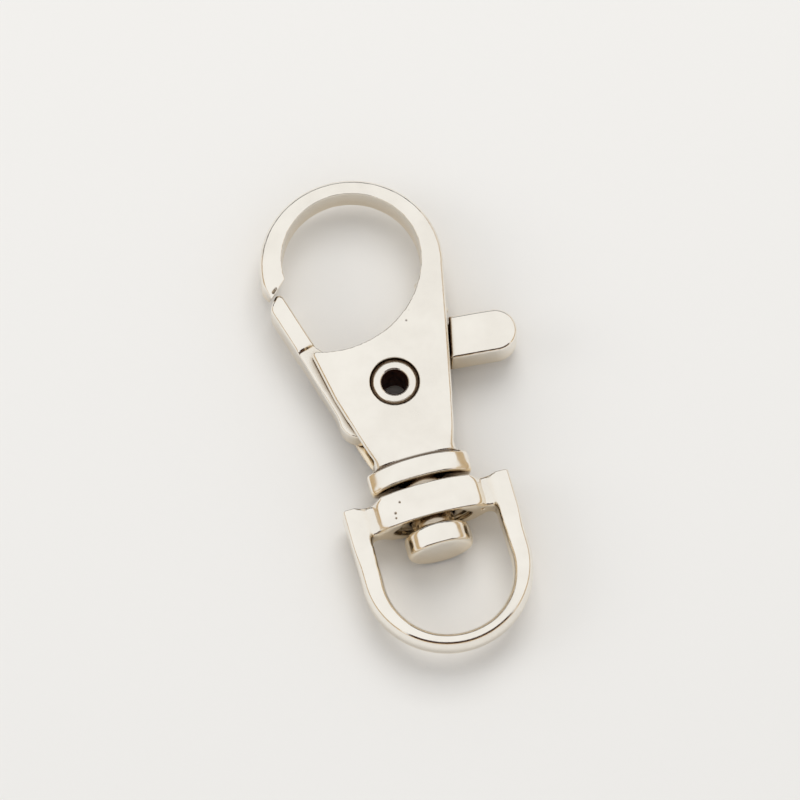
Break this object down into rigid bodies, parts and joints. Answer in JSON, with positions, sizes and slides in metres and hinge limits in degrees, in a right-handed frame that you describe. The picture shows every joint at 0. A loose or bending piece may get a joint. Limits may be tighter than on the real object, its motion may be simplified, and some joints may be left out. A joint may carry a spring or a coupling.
{
  "type": "snap hook",
  "caption": "Nickel-plated swivel snap hook: ring with a sprung thumb-lever gate, hollow pivot rivet, and a D-shaped strap loop that turns on a headed post.",
  "frame": {"origin": "centre of the hook's eye, at mid thickness", "axes": "+Y along the swivel axis from the strap loop to the hook's crown, +X to the thumb tab, +Z out of the front face"},
  "size_m": [0.0171, 0.0377, 0.005],
  "materials": {
    "nickel_plating": "nickel plating on a zinc die casting, softly polished, with a slight grain and small pits",
    "eyelet_plating": "nickel-plated rolled steel",
    "spring_steel": "bare spring wire"
  },
  "bodies": {
    "hook": {"hook_body": "nickel_plating", "pivot_eyelet": "eyelet_plating", "gate_spring": "spring_steel"},
    "gate": {"gate_lever": "nickel_plating"},
    "loop": {"swivel_ring": "nickel_plating"}
  },
  "joints": [
    {"name": "gate_pivot", "type": "hinge", "parent": "hook", "child": "gate", "pos_m": [0.0005, -0.01045, 0], "axis": [0, 0, -1], "range_deg": [0, 28], "stiffness_Nm_per_rad": 0.03, "springref_deg": -28.65, "deforming": ["gate_spring"]},
    {"name": "loop_swivel", "type": "hinge", "parent": "hook", "child": "loop", "pos_m": [0.0005, -0.02, 0], "axis": [0, 1, 0], "continuous": true}
  ]
}
